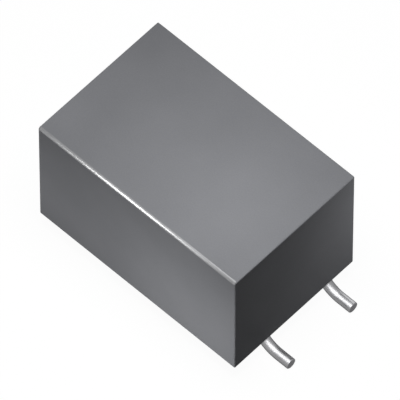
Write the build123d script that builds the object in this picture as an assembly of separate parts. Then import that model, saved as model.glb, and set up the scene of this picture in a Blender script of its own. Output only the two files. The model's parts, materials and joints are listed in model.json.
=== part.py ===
from build123d import *
import math
import os

# Surface-mount common mode choke: a moulded block on four round tinned leads. The block holds
# a toroid core with two sector windings, a divider between them and the four soldered ends.
# Millimetres, +Z up. The origin lies on the board under the middle of the block, and +X is
# the long axis. Both rows of leads stand a little towards +Y.

# Moulded block
body_length = 13.0
body_width = 8.4
body_height = 7.6
standoff = 1.05
edge_radius = 0.12
side_cover = 0.75
end_cover = 1.25
moulding_gap = 0.02

# Leads
lead_diameter = 0.6
lead_bend_radius = 1.45
lead_inset = 0.75
foot_length = 0.8
lead_pitch = 4.4
lead_offset = 0.4
post_rise = 2.4

# Toroid core
core_ring_width = 1.5
core_edge_radius = 0.35

# Windings
wire_diameter = 0.25
wire_gap = 0.04
coil_gap = 0.06
wire_bend_radius = 0.4
turn_pitch = 0.31
winding_sector_angle = 146.0
tail_height = 3.35

# Divider between the windings
divider_thickness = 0.4
divider_gap = 0.05

# Soldered laps between wire and lead
lap_gap = 0.08
lap_length = 1.2
solder_cover = 0.12
solder_gap = 0.01
solder_edge_radius = 0.1

# Heights of the block, the lead posts and the core
body_bottom = standoff
core_middle = body_bottom + body_height / 2
bend_centre_height = lead_diameter / 2 + lead_bend_radius
post_top = bend_centre_height + post_rise
post_x = body_length / 2 - lead_inset

# One layer of wire covers the core all round
wire_build = wire_gap + wire_diameter
core_height = body_height - 2 * (end_cover + coil_gap + wire_build)
core_outer_radius = body_width / 2 - side_cover - coil_gap - wire_build
core_hole_radius = core_outer_radius - core_ring_width

# Runs of a turn, measured to the middle of the wire
wire_offset = wire_gap + wire_diameter / 2
outer_run_radius = core_outer_radius + wire_offset
inner_run_radius = core_hole_radius - wire_offset
top_run = core_middle + core_height / 2 + wire_offset
bottom_run = core_middle - core_height / 2 - wire_offset
turn_angle = math.degrees(2 * math.asin(turn_pitch / (2 * inner_run_radius)))
turns = int(winding_sector_angle / turn_angle)

# Lap between a winding's end and its lead
tail_run = body_bottom + tail_height
lap_inset = lead_diameter / 2 + lap_gap + wire_diameter / 2
lap_x = post_x - lap_inset
lap_bottom = tail_run - wire_bend_radius - lap_length


def tube(path, radius):
    """A round bar of the given radius along a path."""
    section = Plane(path @ 0, z_dir=path % 0) * Circle(radius)
    return sweep(section, path=path)


def block():
    """The outside of the moulded block."""
    base = Pos(0, 0, body_bottom)
    bottom_centre = (Align.CENTER, Align.CENTER, Align.MIN)
    blank = base * Box(body_length, body_width, body_height, align=bottom_centre)
    return fillet(blank.edges(), edge_radius)


def coil_space():
    """The ring in the block that the wound core fills."""
    height = core_height + 2 * (wire_build + coil_gap)
    outer = Cylinder(core_outer_radius + wire_build + coil_gap, height)
    inner = Cylinder(core_hole_radius - wire_build - coil_gap, height)
    return Pos(0, 0, core_middle) * (outer - inner)


def core():
    """The toroid, lying flat, with its four rims rounded."""
    ring = Cylinder(core_outer_radius, core_height) - Cylinder(core_hole_radius, core_height)
    rims = ring.edges().filter_by(GeomType.CIRCLE)
    return Pos(0, 0, core_middle) * fillet(rims, core_edge_radius)


def lead_y(y_side):
    """Where a lead stands across the block, on the -Y side or the +Y side."""
    return lead_offset + y_side * lead_pitch / 2


def lead_path(x_side, y_side):
    """Middle line of a lead: post, quarter bend and foot."""
    y = lead_y(y_side)
    foot_start = post_x + lead_bend_radius
    bend_start = (x_side * post_x, y, bend_centre_height)
    bend_end = (x_side * foot_start, y, lead_diameter / 2)
    foot_end = (x_side * (foot_start + foot_length), y, lead_diameter / 2)
    post = Line((x_side * post_x, y, post_top), bend_start)
    bend = TangentArc(bend_start, bend_end, tangent=(0, 0, -1))
    return Wire([post, bend, Line(bend_end, foot_end)])


def lead(x_side, y_side):
    return tube(lead_path(x_side, y_side), lead_diameter / 2)


def around(radius, degrees, height):
    """A point on a circle about the middle axis."""
    angle = math.radians(degrees)
    return (radius * math.cos(angle), radius * math.sin(angle), height)


def sector_angle(x_side, y_side):
    """Angle about the middle axis at which a winding begins or ends on that side."""
    return y_side * 90 - x_side * y_side * turns * turn_angle / 2


def tail_corners(x_side, y_side):
    """Corners of a winding's end, from the foot of its lap to the next corner of the coil."""
    angle = sector_angle(x_side, y_side)
    lap = (x_side * lap_x, lead_y(y_side))
    next_height = top_run if x_side * y_side < 0 else bottom_run
    return [
        (*lap, lap_bottom),
        (*lap, tail_run),
        around(outer_run_radius, angle, tail_run),
        around(outer_run_radius, angle, next_height),
    ]


def winding(y_side):
    """One sector winding: a tail, the turns one after another, and the other tail."""
    corners = tail_corners(-y_side, y_side)[:-1]
    for turn in range(turns):
        angle = sector_angle(-y_side, y_side) - turn * turn_angle
        corners.append(around(outer_run_radius, angle, top_run))
        corners.append(around(inner_run_radius, angle, top_run))
        corners.append(around(inner_run_radius, angle, bottom_run))
        corners.append(around(outer_run_radius, angle - turn_angle, bottom_run))
    corners.extend(reversed(tail_corners(y_side, y_side)[:-1]))
    path = FilletPolyline(*corners, radius=wire_bend_radius)
    return tube(path, wire_diameter / 2)


def tail_room(x_side, y_side, clearance):
    """Room for a winding's end, from its lap to the coil."""
    path = FilletPolyline(*tail_corners(x_side, y_side), radius=wire_bend_radius)
    return tube(path, wire_diameter / 2 + clearance)


def divider(clearance=0.0):
    """The flat strip that stands in the core's hole between the windings."""
    half_thickness = divider_thickness / 2
    half_length = math.sqrt(core_hole_radius**2 - half_thickness**2) - divider_gap
    return Pos(0, 0, core_middle) * Box(
        2 * (half_length + clearance),
        divider_thickness + 2 * clearance,
        core_height + 2 * (wire_build + clearance),
    )


def solder_blank(x_side, y_side, clearance=0.0):
    """Outside of a soldered lap, round the lead's post and the wire beside it."""
    cover = solder_cover + clearance
    length = lap_inset + lead_diameter / 2 + wire_diameter / 2 + 2 * cover
    middle_x = post_x - lap_inset / 2 + (lead_diameter - wire_diameter) / 4
    foot = Pos(x_side * middle_x, lead_y(y_side), lap_bottom - cover)
    blank = extrude(foot * SlotOverall(length, lead_diameter + 2 * cover), lap_length + 2 * cover)
    rims = blank.faces().filter_by(Axis.Z).edges()
    return fillet(rims, solder_edge_radius)


def solder_joint(x_side, y_side):
    """A soldered lap, hollowed for its lead and its wire."""
    post = tube(lead_path(x_side, y_side), lead_diameter / 2 + solder_gap)
    return solder_blank(x_side, y_side) - post - tail_room(x_side, y_side, solder_gap)


def end_space(x_side, y_side):
    """Room in the block for a lead, its solder and the winding's end."""
    bore = tube(lead_path(x_side, y_side), lead_diameter / 2 + moulding_gap)
    pocket = solder_blank(x_side, y_side, moulding_gap)
    return bore + pocket + tail_room(x_side, y_side, moulding_gap)


# Leads are numbered anticlockwise from above: 1 and 2 at the +X end, 3 and 4 at the -X end
lead_sides = [(1, -1), (1, 1), (-1, 1), (-1, -1)]

body = block() - coil_space() - divider(moulding_gap)
for x_side, y_side in lead_sides:
    body = body - end_space(x_side, y_side)

parts = {
    "moulded_body": body,
    "toroid_core": core(),
    "winding_a": winding(-1),
    "winding_b": winding(1),
    "winding_divider": divider(),
}
for number, (x_side, y_side) in enumerate(lead_sides, start=1):
    parts[f"lead_{number}"] = lead(x_side, y_side)
    parts[f"solder_joint_{number}"] = solder_joint(x_side, y_side)

os.makedirs("parts", exist_ok=True)
for name, shape in parts.items():
    export_step(shape, f"parts/{name}.step")
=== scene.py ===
import json
import math

import bmesh
import bpy
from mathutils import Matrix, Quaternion, Vector


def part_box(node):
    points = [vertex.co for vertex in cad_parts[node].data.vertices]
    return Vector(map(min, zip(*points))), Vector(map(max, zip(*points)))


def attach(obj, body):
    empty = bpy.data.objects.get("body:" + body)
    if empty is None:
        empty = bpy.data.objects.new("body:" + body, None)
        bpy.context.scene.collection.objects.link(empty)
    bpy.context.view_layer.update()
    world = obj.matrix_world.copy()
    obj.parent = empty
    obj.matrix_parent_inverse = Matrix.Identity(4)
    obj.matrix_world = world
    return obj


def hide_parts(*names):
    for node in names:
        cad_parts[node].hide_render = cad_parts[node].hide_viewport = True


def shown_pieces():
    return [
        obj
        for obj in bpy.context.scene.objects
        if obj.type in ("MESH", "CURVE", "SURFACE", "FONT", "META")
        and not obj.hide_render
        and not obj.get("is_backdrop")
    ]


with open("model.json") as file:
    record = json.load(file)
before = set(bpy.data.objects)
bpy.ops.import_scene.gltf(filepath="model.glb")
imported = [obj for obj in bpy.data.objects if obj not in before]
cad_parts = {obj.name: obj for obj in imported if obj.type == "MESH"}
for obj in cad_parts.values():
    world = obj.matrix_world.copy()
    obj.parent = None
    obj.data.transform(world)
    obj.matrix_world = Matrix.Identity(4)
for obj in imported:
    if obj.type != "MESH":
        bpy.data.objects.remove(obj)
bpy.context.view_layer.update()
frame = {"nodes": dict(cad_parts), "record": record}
mm = 0.001  # the frame is in metres
print("frame loaded with", len(frame["nodes"]), "nodes")


def addMath(tree, operation, a, b=None):
    node = tree.nodes.new("ShaderNodeMath")
    node.operation = operation
    for socket, value in zip(node.inputs, (a, b)):
        if isinstance(value, (int, float)):
            socket.default_value = value
        elif value is not None:
            tree.links.new(value, socket)
    return node.outputs["Value"]


# Materials, one function and one dictionary for each finish

def startMaterial(name):
    material = bpy.data.materials.new(name)
    material.use_nodes = True
    tree = material.node_tree
    shader = tree.nodes["Principled BSDF"]
    coords = tree.nodes.new("ShaderNodeTexCoord")
    perMm = tree.nodes.new("ShaderNodeMapping")  # patterns below are sized in millimetres
    perMm.inputs["Scale"].default_value = (1000, 1000, 1000)
    tree.links.new(coords.outputs["Object"], perMm.inputs["Vector"])
    return material, tree, shader, perMm


def addNoise(tree, vector, size, detail=2.0, roughness=0.5, stretch=(1, 1, 1)):
    if stretch != (1, 1, 1):
        squeeze = tree.nodes.new("ShaderNodeMapping")
        squeeze.inputs["Scale"].default_value = stretch
        tree.links.new(vector, squeeze.inputs["Vector"])
        vector = squeeze.outputs["Vector"]
    noise = tree.nodes.new("ShaderNodeTexNoise")
    noise.inputs["Scale"].default_value = 1 / size
    noise.inputs["Detail"].default_value = detail
    noise.inputs["Roughness"].default_value = roughness
    tree.links.new(vector, noise.inputs["Vector"])
    return noise.outputs["Fac"]


def addRange(tree, value, low, high, fromLow=0.3, fromHigh=0.7):
    remap = tree.nodes.new("ShaderNodeMapRange")
    remap.inputs["From Min"].default_value = fromLow
    remap.inputs["From Max"].default_value = fromHigh
    remap.inputs["To Min"].default_value = low
    remap.inputs["To Max"].default_value = high
    tree.links.new(value, remap.inputs["Value"])
    return remap.outputs["Result"]


def addColour(tree, factor, dark, light):
    mix = tree.nodes.new("ShaderNodeMix")
    mix.data_type = "RGBA"
    mix.inputs["A"].default_value = (*dark, 1)
    mix.inputs["B"].default_value = (*light, 1)
    tree.links.new(factor, mix.inputs["Factor"])
    return mix.outputs["Result"]


def addBump(tree, height, depth, below=None):
    bump = tree.nodes.new("ShaderNodeBump")
    bump.inputs["Strength"].default_value = 1.0
    bump.inputs["Distance"].default_value = depth * mm
    tree.links.new(height, bump.inputs["Height"])
    if below is not None:
        tree.links.new(below, bump.inputs["Normal"])
    return bump.outputs["Normal"]


compound = {
    "dark": (0.182, 0.1855, 0.197),
    "light": (0.218, 0.2215, 0.234),
    "flowSize": 4.0,
    "grainSize": 0.06,
    "grainDepth": 0.0025,
    "waveSize": 1.6,
    "waveDepth": 0.003,
    "roughness": (0.5, 0.6),
    "polish": 0.06,
    "polishRoughness": 0.34,
}


def compoundMaterial(look):
    material, tree, shader, perMm = startMaterial("mouldedCompound")
    place = perMm.outputs["Vector"]
    flow = addNoise(tree, place, look["flowSize"], detail=3)
    grain = addNoise(tree, place, look["grainSize"], detail=3, roughness=0.6)
    wave = addNoise(tree, place, look["waveSize"], detail=1)
    tone = addMath(tree, "ADD", addRange(tree, flow, 0, 0.5), addRange(tree, grain, 0, 0.5))
    tree.links.new(addColour(tree, tone, look["dark"], look["light"]), shader.inputs["Base Color"])
    tree.links.new(addRange(tree, grain, *look["roughness"]), shader.inputs["Roughness"])
    ripple = addBump(tree, wave, look["waveDepth"])
    tree.links.new(addBump(tree, grain, look["grainDepth"], ripple), shader.inputs["Normal"])
    shader.inputs["Specular IOR Level"].default_value = 0
    shader.inputs["Coat Weight"].default_value = look["polish"]
    shader.inputs["Coat Roughness"].default_value = look["polishRoughness"]
    return material


burnish = {
    "dark": (0.115, 0.117, 0.122),
    "light": (0.145, 0.147, 0.153),
    "rubSize": 0.5,
    "rubStretch": (0.3, 1, 1),
    "roughness": (0.40, 0.46),
    "ior": 2.1,
}


def burnishMaterial(look):
    material, tree, shader, perMm = startMaterial("burnishedEdge")
    rub = addNoise(tree, perMm.outputs["Vector"], look["rubSize"], detail=2, stretch=look["rubStretch"])
    tree.links.new(addColour(tree, addRange(tree, rub, 0, 1), look["dark"], look["light"]),
                   shader.inputs["Base Color"])
    tree.links.new(addRange(tree, rub, *look["roughness"]), shader.inputs["Roughness"])
    shader.inputs["IOR"].default_value = look["ior"]
    return material


tin = {
    "dark": (0.25, 0.25, 0.257),
    "light": (0.28, 0.28, 0.286),
    "patchSize": 0.6,
    "rippleSize": 0.4,
    "rippleDepth": 0.00015,
    "roughness": (0.42, 0.45),
    "edgeTint": (0.0, 0.0, 0.0),
}


def tinMaterial(look):
    material, tree, shader, perMm = startMaterial("brightTin")
    place = perMm.outputs["Vector"]
    patch = addNoise(tree, place, look["patchSize"], detail=2)
    ripple = addNoise(tree, place, look["rippleSize"], detail=1)
    tree.links.new(addColour(tree, addRange(tree, patch, 0, 1), look["dark"], look["light"]),
                   shader.inputs["Base Color"])
    tree.links.new(addRange(tree, patch, *look["roughness"]), shader.inputs["Roughness"])
    tree.links.new(addBump(tree, ripple, look["rippleDepth"]), shader.inputs["Normal"])
    shader.inputs["Metallic"].default_value = 1
    shader.inputs["Specular Tint"].default_value = (*look["edgeTint"], 1)
    return material


ferrite = {
    "dark": (0.018, 0.085, 0.045),
    "light": (0.03, 0.13, 0.07),
    "speckSize": 0.25,
    "peelSize": 0.18,
    "peelDepth": 0.004,
    "roughness": (0.3, 0.45),
    "coat": 0.4,
}


def ferriteMaterial(look):
    material, tree, shader, perMm = startMaterial("coatedFerrite")
    place = perMm.outputs["Vector"]
    speck = addNoise(tree, place, look["speckSize"], detail=4)
    peel = addNoise(tree, place, look["peelSize"], detail=1)
    tree.links.new(addColour(tree, addRange(tree, speck, 0, 1), look["dark"], look["light"]),
                   shader.inputs["Base Color"])
    tree.links.new(addRange(tree, speck, *look["roughness"]), shader.inputs["Roughness"])
    tree.links.new(addBump(tree, peel, look["peelDepth"]), shader.inputs["Normal"])
    shader.inputs["Coat Weight"].default_value = look["coat"]
    return material


enamel = {
    "dark": (0.36, 0.10, 0.03),
    "light": (0.62, 0.22, 0.08),
    "toneSize": 0.9,
    "ringSize": 0.05,
    "ringDepth": 0.0008,
    "roughness": (0.22, 0.34),
    "coat": 0.8,
}


def enamelMaterial(look):
    material, tree, shader, perMm = startMaterial("enamelledCopper")
    place = perMm.outputs["Vector"]
    tone = addNoise(tree, place, look["toneSize"], detail=2)
    ring = addNoise(tree, place, look["ringSize"], detail=1)
    tree.links.new(addColour(tree, addRange(tree, tone, 0, 1), look["dark"], look["light"]),
                   shader.inputs["Base Color"])
    tree.links.new(addRange(tree, tone, *look["roughness"]), shader.inputs["Roughness"])
    tree.links.new(addBump(tree, ring, look["ringDepth"]), shader.inputs["Normal"])
    shader.inputs["Metallic"].default_value = 0.9
    shader.inputs["Coat Weight"].default_value = look["coat"]
    return material


solder = {
    "dark": (0.38, 0.385, 0.40),
    "light": (0.60, 0.60, 0.61),
    "frostSize": 0.12,
    "frostDepth": 0.003,
    "roughness": (0.28, 0.5),
}


def solderMaterial(look):
    material, tree, shader, perMm = startMaterial("frostedSolder")
    place = perMm.outputs["Vector"]
    frost = addNoise(tree, place, look["frostSize"], detail=4, roughness=0.6)
    tree.links.new(addColour(tree, addRange(tree, frost, 0, 1), look["dark"], look["light"]),
                   shader.inputs["Base Color"])
    tree.links.new(addRange(tree, frost, *look["roughness"]), shader.inputs["Roughness"])
    tree.links.new(addBump(tree, frost, look["frostDepth"]), shader.inputs["Normal"])
    shader.inputs["Metallic"].default_value = 1
    return material


strip = {
    "dark": (0.60, 0.52, 0.34),
    "light": (0.72, 0.65, 0.47),
    "fibreSize": 0.12,
    "fibreStretch": (0.25, 1, 1),
    "fibreDepth": 0.002,
    "roughness": (0.5, 0.7),
    "sheen": 0.1,
}


def stripMaterial(look):
    material, tree, shader, perMm = startMaterial("dividerStrip")
    place = perMm.outputs["Vector"]
    fibre = addNoise(tree, place, look["fibreSize"], detail=3, stretch=look["fibreStretch"])
    tree.links.new(addColour(tree, addRange(tree, fibre, 0, 1), look["dark"], look["light"]),
                   shader.inputs["Base Color"])
    tree.links.new(addRange(tree, fibre, *look["roughness"]), shader.inputs["Roughness"])
    tree.links.new(addBump(tree, fibre, look["fibreDepth"]), shader.inputs["Normal"])
    shader.inputs["Sheen Weight"].default_value = look["sheen"]
    return material


materials = {
    "moulding_compound": compoundMaterial(compound),
    "tinned_wire": tinMaterial(tin),
    "ferrite": ferriteMaterial(ferrite),
    "enamelled_copper": enamelMaterial(enamel),
    "solder": solderMaterial(solder),
    "divider_plastic": stripMaterial(strip),
}
for part in frame["record"]["subparts"]:
    node = frame["nodes"][part["node"]]
    for place in node.material_slots:
        place.material = materials[part["material_slot"]]
print("finishes made:", len(materials))


# Node trees: each has named inputs, and ends in Realize Instances and Set Material

def startTree(name, inputs, withGeometry=True):
    tree = bpy.data.node_groups.new(name, "GeometryNodeTree")
    if withGeometry:
        tree.interface.new_socket("Geometry", in_out="INPUT", socket_type="NodeSocketGeometry")
    for label, kind in inputs.items():
        tree.interface.new_socket(label, in_out="INPUT", socket_type=kind)
    tree.interface.new_socket("Geometry", in_out="OUTPUT", socket_type="NodeSocketGeometry")
    return tree, tree.nodes.new("NodeGroupInput")


def finishTree(tree, start, mesh):
    realize = tree.nodes.new("GeometryNodeRealizeInstances")
    paint = tree.nodes.new("GeometryNodeSetMaterial")
    end = tree.nodes.new("NodeGroupOutput")
    tree.links.new(mesh, realize.inputs["Geometry"])
    tree.links.new(realize.outputs["Geometry"], paint.inputs["Geometry"])
    tree.links.new(start.outputs["Material"], paint.inputs["Material"])
    tree.links.new(paint.outputs["Geometry"], end.inputs["Geometry"])


def addSwitch(tree, test, whenFalse, whenTrue):
    node = tree.nodes.new("GeometryNodeSwitch")
    node.input_type = "FLOAT"
    tree.links.new(test, node.inputs["Switch"])
    tree.links.new(whenFalse, node.inputs["False"])
    tree.links.new(whenTrue, node.inputs["True"])
    return node.outputs["Output"]


def addWire(tree, start, path, steps, sides):
    # round the corners of a path and run a round section along it
    bend = tree.nodes.new("GeometryNodeFilletCurve")
    bend.mode = "POLY"
    bend.inputs["Count"].default_value = steps
    bend.inputs["Limit Radius"].default_value = True
    section = tree.nodes.new("GeometryNodeCurvePrimitiveCircle")
    section.inputs["Resolution"].default_value = sides
    sweep = tree.nodes.new("GeometryNodeCurveToMesh")
    sweep.inputs["Fill Caps"].default_value = True
    smooth = tree.nodes.new("GeometryNodeSetShadeSmooth")
    tree.links.new(path, bend.inputs["Curve"])
    tree.links.new(start.outputs["Bend Radius"], bend.inputs["Radius"])
    tree.links.new(start.outputs["Wire Radius"], section.inputs["Radius"])
    tree.links.new(bend.outputs["Curve"], sweep.inputs["Curve"])
    tree.links.new(section.outputs["Curve"], sweep.inputs["Profile Curve"])
    tree.links.new(sweep.outputs["Mesh"], smooth.inputs["Geometry"])
    return smooth.outputs["Geometry"]


def pathMesh(name, corners, edges):
    mesh = bpy.data.meshes.new(name + "Path")
    mesh.from_pydata([Vector(corner) for corner in corners], edges, [])
    return mesh


def runTree(name, tree, values, source=None):
    # gives the modifier its values by socket identifier, then keeps the evaluated mesh
    maker = bpy.data.objects.new(name + "Maker", source or bpy.data.meshes.new(name + "Source"))
    bpy.context.scene.collection.objects.link(maker)
    modifier = maker.modifiers.new("Nodes", "NODES")
    modifier.node_group = tree
    for item in tree.interface.items_tree:
        if item.in_out == "INPUT" and item.name in values:
            modifier[item.identifier] = values[item.name]
    evaluated = maker.evaluated_get(bpy.context.evaluated_depsgraph_get())
    mesh = bpy.data.meshes.new_from_object(evaluated)
    mesh.name = name
    bpy.data.objects.remove(maker)
    piece = bpy.data.objects.new(name, mesh)
    bpy.context.scene.collection.objects.link(piece)
    return piece


def placePiece(piece, node):
    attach(piece, "root")
    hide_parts(node)


# Block: a crisp box with a bore for each lead, its long front top edge rounder and burnished

block = {
    "edgeRadius": 0.06 * mm,
    "edgeSteps": 3,
    "frontRadius": 0.15 * mm,
    "frontSteps": 8,
    "boreRadius": 0.32 * mm,
    "boreDepth": 2.0 * mm,
    "boreReach": 2.2 * mm,
    "bendRadius": 1.45 * mm,
    "bendSteps": 24,
    "boreSides": 48,
}


def roundedBox(name, low, high, look):
    middle = (low + high) / 2
    mesh = bmesh.new()
    bmesh.ops.create_cube(mesh, size=1)
    bmesh.ops.scale(mesh, vec=high - low, verts=mesh.verts)
    bmesh.ops.translate(mesh, vec=middle, verts=mesh.verts)
    front = [edge for edge in mesh.edges if all(v.co.y < 0 and v.co.z > middle.z for v in edge.verts)]
    bmesh.ops.bevel(mesh, geom=front, offset=look["frontRadius"], segments=look["frontSteps"],
                    profile=0.5, affect="EDGES")
    # the facets of that rounding meet at a few degrees, so these are the square edges alone
    square = [edge for edge in mesh.edges if edge.calc_face_angle() > math.radians(60)]
    bmesh.ops.bevel(mesh, geom=square, offset=look["edgeRadius"], segments=look["edgeSteps"],
                    profile=0.5, affect="EDGES")
    flat = sorted(mesh.faces, key=lambda face: face.calc_area())[-6:]
    for face in mesh.faces:
        face.smooth = face not in flat
    data = bpy.data.meshes.new(name)
    mesh.to_mesh(data)
    mesh.free()
    return data


def blockTree(look):
    tree, start = startTree("boredBlock", {
        "Wire Radius": "NodeSocketFloat",
        "Bend Radius": "NodeSocketFloat",
        "Bore Top": "NodeSocketFloat",
        "Bore Reach": "NodeSocketFloat",
        "Foot Height": "NodeSocketFloat",
        "Lead X": "NodeSocketFloat",
        "First Y": "NodeSocketFloat",
        "Second Y": "NodeSocketFloat",
        "Material": "NodeSocketMaterial",
    })
    index = tree.nodes.new("GeometryNodeInputIndex").outputs["Index"]
    # a drill follows its lead: corner 0 is deep in the block, 1 where the lead bends, 2 past the bend
    line = tree.nodes.new("GeometryNodeMeshLine")
    line.inputs["Count"].default_value = 3
    isDeep = addMath(tree, "LESS_THAN", index, 0.5)
    isOut = addMath(tree, "GREATER_THAN", index, 1.5)
    height = addSwitch(tree, isDeep, start.outputs["Foot Height"], start.outputs["Bore Top"])
    corner = tree.nodes.new("ShaderNodeCombineXYZ")
    tree.links.new(addMath(tree, "MULTIPLY", isOut, start.outputs["Bore Reach"]), corner.inputs["X"])
    tree.links.new(height, corner.inputs["Z"])
    shape = tree.nodes.new("GeometryNodeSetPosition")
    tree.links.new(line.outputs["Mesh"], shape.inputs["Geometry"])
    tree.links.new(corner.outputs["Vector"], shape.inputs["Position"])
    path = tree.nodes.new("GeometryNodeMeshToCurve")
    tree.links.new(shape.outputs["Geometry"], path.inputs["Mesh"])
    drill = addWire(tree, start, path.outputs["Curve"], look["bendSteps"], look["boreSides"])
    # index 0 to 3 gives each drill its own lead, and the two at the far end are turned about
    points = tree.nodes.new("GeometryNodeMeshLine")
    points.inputs["Count"].default_value = 4
    isFarEnd = addMath(tree, "GREATER_THAN", index, 1.5)
    isSecond = addMath(tree, "MODULO", index, 2)
    farX = addMath(tree, "MULTIPLY", start.outputs["Lead X"], -1)
    boreX = addSwitch(tree, isFarEnd, start.outputs["Lead X"], farX)
    boreY = addSwitch(tree, isSecond, start.outputs["First Y"], start.outputs["Second Y"])
    place = tree.nodes.new("ShaderNodeCombineXYZ")
    tree.links.new(boreX, place.inputs["X"])
    tree.links.new(boreY, place.inputs["Y"])
    turn = tree.nodes.new("ShaderNodeCombineXYZ")
    tree.links.new(addMath(tree, "MULTIPLY", isFarEnd, math.pi), turn.inputs["Z"])
    spread = tree.nodes.new("GeometryNodeSetPosition")
    tree.links.new(points.outputs["Mesh"], spread.inputs["Geometry"])
    tree.links.new(place.outputs["Vector"], spread.inputs["Position"])
    drills = tree.nodes.new("GeometryNodeInstanceOnPoints")
    tree.links.new(spread.outputs["Geometry"], drills.inputs["Points"])
    tree.links.new(drill, drills.inputs["Instance"])
    tree.links.new(turn.outputs["Vector"], drills.inputs["Rotation"])
    cut = tree.nodes.new("GeometryNodeMeshBoolean")
    cut.operation = "DIFFERENCE"
    cut.solver = "EXACT"
    tree.links.new(start.outputs["Geometry"], cut.inputs["Mesh 1"])
    tree.links.new(drills.outputs["Instances"], cut.inputs["Mesh 2"])
    finishTree(tree, start, cut.outputs["Mesh"])
    return tree


def burnishEdge(piece, low, high, radius, finishes):
    # the long front top edge is the only round one that lies both high and far forward
    piece.data.materials.clear()
    for finish in finishes:
        piece.data.materials.append(finish)
    for face in piece.data.polygons:
        inFront = face.center.y < low.y + radius
        onTop = face.center.z > high.z - radius
        between = low.x + radius < face.center.x < high.x - radius
        face.material_index = int(inFront and onTop and between)


def makeBlock(look):
    low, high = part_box("moulded_body")
    firstLow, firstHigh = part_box("lead_1")
    secondLow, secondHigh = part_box("lead_2")
    wireRadius = (firstHigh.y - firstLow.y) / 2
    shell = roundedBox("blockShell", low, high, look)
    piece = runTree("block_shell", blockTree(look), {
        "Wire Radius": look["boreRadius"],
        "Bend Radius": look["bendRadius"],
        "Bore Top": low.z + look["boreDepth"],
        "Bore Reach": look["boreReach"],
        "Foot Height": firstLow.z + wireRadius,
        "Lead X": firstLow.x + wireRadius,
        "First Y": (firstLow.y + firstHigh.y) / 2,
        "Second Y": (secondLow.y + secondHigh.y) / 2,
        "Material": materials["moulding_compound"],
    }, shell)
    finishes = (materials["moulding_compound"], burnishMaterial(burnish))
    burnishEdge(piece, low, high, look["frontRadius"], finishes)
    placePiece(piece, "moulded_body")
    return piece


blockPiece = makeBlock(block)
print("block made")


# Leads: post, bend and foot in one round wire, with a softened cut end

lead = {
    "bendRadius": 1.45 * mm,
    "bendSteps": 24,
    "sides": 48,
    "tipSoftening": 0.03 * mm,
}


def leadTree(look):
    tree, start = startTree("leadWire", {
        "Wire Radius": "NodeSocketFloat",
        "Bend Radius": "NodeSocketFloat",
        "Material": "NodeSocketMaterial",
    })
    path = tree.nodes.new("GeometryNodeMeshToCurve")
    tree.links.new(start.outputs["Geometry"], path.inputs["Mesh"])
    wire = addWire(tree, start, path.outputs["Curve"], look["bendSteps"], look["sides"])
    finishTree(tree, start, wire)
    return tree


def softenEnds(piece, size):
    # the two cut ends are the only sharp rims on a wire
    mesh = bmesh.new()
    mesh.from_mesh(piece.data)
    caps = [face for face in mesh.faces if len(face.verts) > 4]
    for face in caps:
        face.smooth = False
    rims = [edge for edge in mesh.edges if any(face in caps for face in edge.link_faces)]
    bmesh.ops.bevel(mesh, geom=rims, offset=size, segments=3, profile=0.5, affect="EDGES")
    for face in mesh.faces:
        face.smooth = len(face.verts) <= 4
    mesh.to_mesh(piece.data)
    mesh.free()


def makeLead(node, tree, look):
    low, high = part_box(node)
    radius = (high.y - low.y) / 2
    middleY = (high.y + low.y) / 2
    outward = 1 if high.x + low.x > 0 else -1
    postX = low.x + radius if outward > 0 else high.x - radius
    tipX = high.x if outward > 0 else low.x
    footZ = low.z + radius
    corners = [(postX, middleY, high.z), (postX, middleY, footZ), (tipX, middleY, footZ)]
    piece = runTree(node + "_wire", tree, {
        "Wire Radius": radius,
        "Bend Radius": look["bendRadius"],
        "Material": materials["tinned_wire"],
    }, pathMesh(node, corners, [(0, 1), (1, 2)]))
    softenEnds(piece, look["tipSoftening"])
    placePiece(piece, node)
    return piece


wireTree = leadTree(lead)
leadPieces = [makeLead(f"lead_{number}", wireTree, lead) for number in (1, 2, 3, 4)]
print("leads made")


# Core: a rounded section carried round the middle axis

core = {
    "edgeRadius": 0.35 * mm,
    "edgeSteps": 8,
    "sides": 128,
}


def coreTree(look):
    tree, start = startTree("coreRing", {
        "Ring Radius": "NodeSocketFloat",
        "Ring Width": "NodeSocketFloat",
        "Ring Height": "NodeSocketFloat",
        "Edge Radius": "NodeSocketFloat",
        "Middle Height": "NodeSocketFloat",
        "Material": "NodeSocketMaterial",
    }, withGeometry=False)
    ring = tree.nodes.new("GeometryNodeCurvePrimitiveCircle")
    ring.inputs["Resolution"].default_value = look["sides"]
    section = tree.nodes.new("GeometryNodeCurvePrimitiveQuadrilateral")
    rounding = tree.nodes.new("GeometryNodeFilletCurve")
    rounding.mode = "POLY"
    rounding.inputs["Count"].default_value = look["edgeSteps"]
    sweep = tree.nodes.new("GeometryNodeCurveToMesh")
    lift = tree.nodes.new("GeometryNodeTransform")
    offset = tree.nodes.new("ShaderNodeCombineXYZ")
    smooth = tree.nodes.new("GeometryNodeSetShadeSmooth")
    tree.links.new(start.outputs["Ring Radius"], ring.inputs["Radius"])
    tree.links.new(start.outputs["Ring Width"], section.inputs["Width"])
    tree.links.new(start.outputs["Ring Height"], section.inputs["Height"])
    tree.links.new(section.outputs["Curve"], rounding.inputs["Curve"])
    tree.links.new(start.outputs["Edge Radius"], rounding.inputs["Radius"])
    tree.links.new(ring.outputs["Curve"], sweep.inputs["Curve"])
    tree.links.new(rounding.outputs["Curve"], sweep.inputs["Profile Curve"])
    tree.links.new(start.outputs["Middle Height"], offset.inputs["Z"])
    tree.links.new(sweep.outputs["Mesh"], lift.inputs["Geometry"])
    tree.links.new(offset.outputs["Vector"], lift.inputs["Translation"])
    tree.links.new(lift.outputs["Geometry"], smooth.inputs["Geometry"])
    finishTree(tree, start, smooth.outputs["Geometry"])
    return tree


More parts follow.
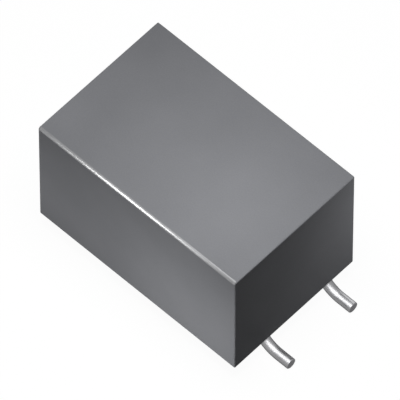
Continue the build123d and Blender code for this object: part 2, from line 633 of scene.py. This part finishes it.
def makeCore(look, holeRadius):
    low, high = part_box("toroid_core")
    outerRadius = high.x
    piece = runTree("core_ring", coreTree(look), {
        "Ring Radius": (outerRadius + holeRadius) / 2,
        "Ring Width": outerRadius - holeRadius,
        "Ring Height": high.z - low.z,
        "Edge Radius": look["edgeRadius"],
        "Middle Height": (high.z + low.z) / 2,
        "Material": materials["ferrite"],
    })
    placePiece(piece, "toroid_core")
    return piece


# Windings: the turns step round the core one after another, and a tail runs out to each lead

winding = {
    "coreRingWidth": 1.5 * mm,
    "wireGap": 0.04 * mm,
    "wireRadius": 0.125 * mm,
    "bendRadius": 0.4 * mm,
    "turnPitch": 0.31 * mm,
    "sector": 146.0,
    "tailHeight": 3.35 * mm,
    "solderCover": 0.12 * mm,
    "weldGap": 0.01 * mm,
    "bendSteps": 5,
    "sides": 14,
}


def windingTree(look):
    tree, start = startTree("sectorWinding", {
        "Turns": "NodeSocketInt",
        "Turn Angle": "NodeSocketFloat",
        "First Angle": "NodeSocketFloat",
        "Outer Run": "NodeSocketFloat",
        "Inner Run": "NodeSocketFloat",
        "Top Run": "NodeSocketFloat",
        "Bottom Run": "NodeSocketFloat",
        "Wire Radius": "NodeSocketFloat",
        "Bend Radius": "NodeSocketFloat",
        "Material": "NodeSocketMaterial",
    })
    # four corners a turn: top outside, top inside, bottom inside, bottom outside one step on
    line = tree.nodes.new("GeometryNodeMeshLine")
    tree.links.new(addMath(tree, "MULTIPLY", start.outputs["Turns"], 4), line.inputs["Count"])
    index = tree.nodes.new("GeometryNodeInputIndex").outputs["Index"]
    turn = addMath(tree, "FLOOR", addMath(tree, "DIVIDE", index, 4))
    corner = addMath(tree, "SUBTRACT", index, addMath(tree, "MULTIPLY", turn, 4))
    fromMiddle = addMath(tree, "ABSOLUTE", addMath(tree, "SUBTRACT", corner, 1.5))
    isOutside = addMath(tree, "GREATER_THAN", fromMiddle, 1)
    isBottom = addMath(tree, "GREATER_THAN", corner, 1.5)
    isLast = addMath(tree, "GREATER_THAN", corner, 2.5)
    radius = addSwitch(tree, isOutside, start.outputs["Inner Run"], start.outputs["Outer Run"])
    height = addSwitch(tree, isBottom, start.outputs["Top Run"], start.outputs["Bottom Run"])
    steps = addMath(tree, "MULTIPLY", addMath(tree, "ADD", turn, isLast), start.outputs["Turn Angle"])
    angle = addMath(tree, "SUBTRACT", start.outputs["First Angle"], steps)
    place = tree.nodes.new("ShaderNodeCombineXYZ")
    tree.links.new(addMath(tree, "MULTIPLY", radius, addMath(tree, "COSINE", angle)), place.inputs["X"])
    tree.links.new(addMath(tree, "MULTIPLY", radius, addMath(tree, "SINE", angle)), place.inputs["Y"])
    tree.links.new(height, place.inputs["Z"])
    wind = tree.nodes.new("GeometryNodeSetPosition")
    tree.links.new(line.outputs["Mesh"], wind.inputs["Geometry"])
    tree.links.new(place.outputs["Vector"], wind.inputs["Position"])
    # the tails end on the first and last corner, so all three join into one path
    join = tree.nodes.new("GeometryNodeJoinGeometry")
    weld = tree.nodes.new("GeometryNodeMergeByDistance")
    weld.inputs["Distance"].default_value = look["weldGap"]
    path = tree.nodes.new("GeometryNodeMeshToCurve")
    tree.links.new(start.outputs["Geometry"], join.inputs["Geometry"])
    tree.links.new(wind.outputs["Geometry"], join.inputs["Geometry"])
    tree.links.new(join.outputs["Geometry"], weld.inputs["Geometry"])
    tree.links.new(weld.outputs["Geometry"], path.inputs["Mesh"])
    wire = addWire(tree, start, path.outputs["Curve"], look["bendSteps"], look["sides"])
    finishTree(tree, start, wire)
    return tree


def lapFoot(leadNode, look):
    # a lap's foot lies one solder cover above the foot of its joint
    jointLow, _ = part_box(leadNode.replace("lead", "solder_joint"))
    return jointLow.z + look["solderCover"]


def makeWinding(node, tree, look, side, holeRadius):
    # side is -1 for the winding on the -Y half and 1 for the same winding half a turn on
    coreLow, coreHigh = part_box("toroid_core")
    low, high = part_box(node)
    offset = look["wireGap"] + look["wireRadius"]
    outerRun = coreHigh.x + offset
    innerRun = holeRadius - offset
    turnAngle = 2 * math.asin(look["turnPitch"] / (2 * innerRun))
    turns = int(math.radians(look["sector"]) / turnAngle)
    middle = side * math.pi / 2
    firstAngle = middle + turns * turnAngle / 2
    lastAngle = middle - turns * turnAngle / 2
    topRun = coreHigh.z + offset
    bottomRun = coreLow.z - offset
    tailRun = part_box("moulded_body")[0].z + look["tailHeight"]
    lapX = high.x - look["wireRadius"]

    def around(angle, height):
        return (outerRun * math.cos(angle), outerRun * math.sin(angle), height)

    def tail(way, leadNode, angle, nextHeight):
        leadLow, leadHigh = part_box(leadNode)
        leadY = (leadLow.y + leadHigh.y) / 2
        return [
            (way * lapX, leadY, lapFoot(leadNode, look)),
            (way * lapX, leadY, tailRun),
            around(angle, tailRun),
            around(angle, nextHeight),
        ]

    firstLead, lastLead = ("lead_1", "lead_4") if side < 0 else ("lead_3", "lead_2")
    corners = tail(-side, firstLead, firstAngle, topRun) + tail(side, lastLead, lastAngle, bottomRun)
    piece = runTree(node + "_wire", tree, {
        "Turns": turns,
        "Turn Angle": turnAngle,
        "First Angle": firstAngle,
        "Outer Run": outerRun,
        "Inner Run": innerRun,
        "Top Run": topRun,
        "Bottom Run": bottomRun,
        "Wire Radius": look["wireRadius"],
        "Bend Radius": look["bendRadius"],
        "Material": materials["enamelled_copper"],
    }, pathMesh(node, corners, [(0, 1), (1, 2), (2, 3), (4, 5), (5, 6), (6, 7)]))
    placePiece(piece, node)
    return piece


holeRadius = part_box("toroid_core")[1].x - winding["coreRingWidth"]
makeCore(core, holeRadius)
turnTree = windingTree(winding)
makeWinding("winding_a", turnTree, winding, -1, holeRadius)
makeWinding("winding_b", turnTree, winding, 1, holeRadius)
print("core and windings made")


# Floor and background: white to the camera and in reflections, pale to the light that it bounces

floor = {
    "size": 4.0,
    "colour": (0.1, 0.1, 0.1),
    "glow": 0.96,
}


def seenDirectly(tree):
    # 1 for camera, glossy and transmission rays
    path = tree.nodes.new("ShaderNodeLightPath")
    either = addMath(tree, "MAXIMUM", path.outputs["Is Camera Ray"], path.outputs["Is Glossy Ray"])
    return addMath(tree, "MAXIMUM", either, path.outputs["Is Transmission Ray"])


def makeFloor(look):
    half = look["size"] / 2
    corners = [(-half, -half, 0), (half, -half, 0), (half, half, 0), (-half, half, 0)]
    mesh = bpy.data.meshes.new("studioFloor")
    mesh.from_pydata(corners, [], [(0, 1, 2, 3)])
    plane = bpy.data.objects.new("studioFloor", mesh)
    bpy.context.scene.collection.objects.link(plane)
    material = bpy.data.materials.new("studioWhite")
    material.use_nodes = True
    tree = material.node_tree
    tree.nodes.clear()
    matt = tree.nodes.new("ShaderNodeBsdfDiffuse")
    matt.inputs["Color"].default_value = (*look["colour"], 1)
    glow = tree.nodes.new("ShaderNodeEmission")
    tree.links.new(addMath(tree, "MULTIPLY", seenDirectly(tree), look["glow"]), glow.inputs["Strength"])
    both = tree.nodes.new("ShaderNodeAddShader")
    out = tree.nodes.new("ShaderNodeOutputMaterial")
    tree.links.new(matt.outputs["BSDF"], both.inputs[0])
    tree.links.new(glow.outputs["Emission"], both.inputs[1])
    tree.links.new(both.outputs["Shader"], out.inputs["Surface"])
    mesh.materials.append(material)
    plane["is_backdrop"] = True
    return plane


sky = {
    "ambient": 0.03,
}


def makeSky(look):
    world = bpy.data.worlds.new("studioSky")
    bpy.context.scene.world = world
    world.use_nodes = True
    tree = world.node_tree
    background = tree.nodes["Background"]
    background.inputs["Color"].default_value = (1, 1, 1, 1)
    strength = addRange(tree, seenDirectly(tree), look["ambient"], 1.0, 0, 1)
    tree.links.new(strength, background.inputs["Strength"])


studioFloor = makeFloor(floor)
makeSky(sky)


# Lamps: distance and size in millimetres, azimuth, elevation and roll in degrees
# two big ones light the part, five small ones shade the block's faces, the rest draw highlights

lamps = {
    "overhead": {
        "lights": "everything", "distance": 60, "azimuth": 45, "elevation": 85,
        "size": (36, 36), "watts": 0.017,
    },
    "backFill": {
        "lights": "part", "distance": 60, "azimuth": 200, "elevation": 10,
        "size": (30, 30), "watts": 0.01,
    },
    "topRight": {
        "lights": "block", "rays": "diffuse", "distance": 16, "azimuth": 70, "elevation": 70,
        "size": (4, 4), "watts": 0.00095,
    },
    "topLeft": {
        "lights": "block", "rays": "diffuse", "distance": 16, "azimuth": 290, "elevation": 40,
        "size": (4, 4), "watts": 0.00018,
    },
    "frontRight": {
        "lights": "block", "rays": "diffuse", "distance": 16, "azimuth": 20, "elevation": -8,
        "size": (4, 4), "watts": 0.00107,
    },
    "frontLeft": {
        "lights": "block", "rays": "diffuse", "distance": 16, "azimuth": 320, "elevation": -8,
        "size": (4, 4), "watts": 0.00028,
    },
    "endFar": {
        "lights": "block", "rays": "diffuse", "distance": 16, "azimuth": 130, "elevation": 5,
        "size": (4, 4), "watts": 0.00047,
    },
    "edgeGlint": {
        "lights": "block", "rays": "glossy", "aim": "frontEdge",
        "distance": 10, "azimuth": 336, "elevation": 23, "size": (6, 9), "watts": 0.003,
    },
    "leadGlint": {
        "lights": "leads", "rays": "glossy", "aim": "leads",
        "distance": 20, "azimuth": 4.8, "elevation": 68, "roll": 168, "size": (52, 12), "watts": 0.0078,
    },
    "leadGlow": {
        "lights": "leads", "rays": "glossy", "aim": "leads",
        "distance": 22, "azimuth": 4.8, "elevation": 68, "roll": 168, "size": (56, 32), "watts": 0.008,
    },
}


def aimPoints():
    blockLow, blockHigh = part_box("moulded_body")
    leadLow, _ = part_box("lead_1")
    _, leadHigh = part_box("lead_2")
    return {
        "block": (blockLow + blockHigh) / 2,
        "frontEdge": Vector(((blockLow.x + blockHigh.x) / 2, blockLow.y, blockHigh.z)),
        "leads": Vector((blockHigh.x, (leadLow.y + leadHigh.y) / 2, blockLow.z)),
    }


def receivers():
    # small near lamps light only the piece that they are named for, and leave no pools on the floor
    groups = {"part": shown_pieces(), "block": [blockPiece], "leads": leadPieces}
    collections = {}
    for name, members in groups.items():
        collections[name] = bpy.data.collections.new("lit_" + name)
        for piece in members:
            collections[name].objects.link(piece)
    return collections


def direction(azimuth, elevation):
    # azimuth 0 stands in front, on the -Y side, and 90 at the +X end
    a = math.radians(azimuth)
    e = math.radians(elevation)
    return Vector((math.sin(a) * math.cos(e), -math.cos(a) * math.cos(e), math.sin(e)))


def makeLamp(name, look, aim, lit):
    light = bpy.data.lights.new(name, "AREA")
    light.shape = "ELLIPSE"
    light.size, light.size_y = (side * mm for side in look["size"])
    light.energy = look["watts"]
    lamp = bpy.data.objects.new(name, light)
    bpy.context.scene.collection.objects.link(lamp)
    away = direction(look["azimuth"], look["elevation"])
    lamp.location = aim[look.get("aim", "block")] + away * look["distance"] * mm
    roll = Quaternion((0, 0, 1), math.radians(look.get("roll", 0)))
    lamp.rotation_euler = (away.to_track_quat("Z", "Y") @ roll).to_euler()
    lamp.visible_camera = False
    lamp.visible_diffuse = look.get("rays") != "glossy"
    lamp.visible_glossy = look.get("rays") != "diffuse"
    if look["lights"] in lit:
        lamp.light_linking.receiver_collection = lit[look["lights"]]
        lamp.light_linking.blocker_collection = lit[look["lights"]]
    return lamp


aim = aimPoints()
lit = receivers()
for name, look in lamps.items():
    makeLamp(name, look, aim, lit)
print("lamps placed:", len(lamps))


# Camera: the photograph's angle, with the block's middle at its pixel in the 400 x 400 frame

camera = {
    "azimuth": 43.3,
    "elevation": 57.4,
    "distance": 600,
    "middlePixel": (196.3, 194.8),
    "pixelsPerMm": 20.7,
    "frame": 400,
    "sensor": 36.0,
    "clip": (0.01, 50),
}


def makeCamera(look):
    data = bpy.data.cameras.new("photoCamera")
    data.sensor_width = look["sensor"]
    data.lens = look["pixelsPerMm"] * look["distance"] / look["frame"] * look["sensor"]
    data.clip_start, data.clip_end = look["clip"]
    eye = bpy.data.objects.new("photoCamera", data)
    bpy.context.scene.collection.objects.link(eye)
    away = direction(look["azimuth"], look["elevation"])
    turn = away.to_track_quat("Z", "Y")
    right = turn @ Vector((1, 0, 0))
    up = turn @ Vector((0, 1, 0))
    pixelX, pixelY = look["middlePixel"]
    scale = mm / look["pixelsPerMm"]
    across = (pixelX - look["frame"] / 2) * scale
    down = (pixelY - look["frame"] / 2) * scale
    eye.location = aim["block"] - right * across + up * down + away * look["distance"] * mm
    eye.rotation_euler = turn.to_euler()
    bpy.context.scene.camera = eye
    return eye


makeCamera(camera)
bpy.context.scene.view_settings.view_transform = "Standard"
print("camera placed")
